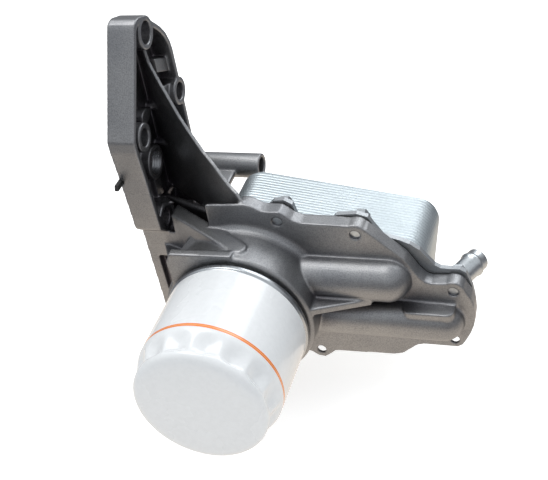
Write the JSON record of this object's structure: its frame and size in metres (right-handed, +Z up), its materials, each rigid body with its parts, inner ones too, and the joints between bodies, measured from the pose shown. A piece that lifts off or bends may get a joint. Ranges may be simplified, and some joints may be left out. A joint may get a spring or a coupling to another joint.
{
  "type": "oil filter housing",
  "caption": "Die-cast engine oil filter housing with bolt-on bracket, spin-on oil filter and plate oil cooler with a hose pipe.",
  "frame": {"origin": "axis of the near middle mounting bore, on the engine face of the bracket", "axes": "+X leaves the engine along the mounting bores, +Y runs from the filter towards the cooler, +Z is up"},
  "size_m": [0.2079, 0.1824, 0.2126],
  "materials": {
    "casting": "die-cast, fine grain",
    "seal_rubber": "moulded",
    "flap_rubber": "moulded",
    "zinc_steel": "zinc plated",
    "cooler_metal": "brazed, satin",
    "seam_steel": "tin plated",
    "white_paint": "gloss enamel",
    "pleated_paper": "resin impregnated",
    "spring_steel": "bright"
  },
  "bodies": {
    "housing": {"housing": "casting", "engine_seal": "seal_rubber", "locating_sleeves": "zinc_steel", "flange_gasket": "seal_rubber", "cooler_base_plate": "cooler_metal", "cooler_core": "cooler_metal", "cooler_end_plate": "cooler_metal", "cooler_screws": "zinc_steel", "hose_pipe": "zinc_steel", "filter_stud": "zinc_steel"},
    "gasket_ring": {"filter_gasket": "seal_rubber"},
    "filter": {"filter_lid": "seam_steel", "filter_cover": "seam_steel", "filter_can": "white_paint", "anti_drain_flap": "flap_rubber", "filter_paper": "pleated_paper", "support_tube": "seam_steel", "upper_end_cap": "seam_steel", "lower_end_cap": "seam_steel", "bypass_cage": "spring_steel", "bypass_spring": "spring_steel", "element_spring": "spring_steel"},
    "bypass_valve": {"bypass_disc": "spring_steel"}
  },
  "joints": [
    {"name": "filter_travel", "type": "slide", "parent": "housing", "child": "gasket_ring", "axis": [0, -1, 0], "range_m": [0, 0.009]},
    {"name": "filter_turn", "type": "hinge", "parent": "gasket_ring", "child": "filter", "pos_m": [0.0702, -0.041, -0.0984], "axis": [0, -1, 0], "range_deg": [0, 2160]},
    {"name": "bypass_open", "type": "slide", "parent": "filter", "child": "bypass_valve", "axis": [0, 1, 0], "range_m": [0, 0.004], "stiffness_N_per_m": 1500, "springref_m": -0.005, "deforming": ["bypass_spring"]}
  ],
  "couplings": [
    {"joint": "filter_travel", "follows": "filter_turn", "m_per_rad": 0.00023873}
  ]
}
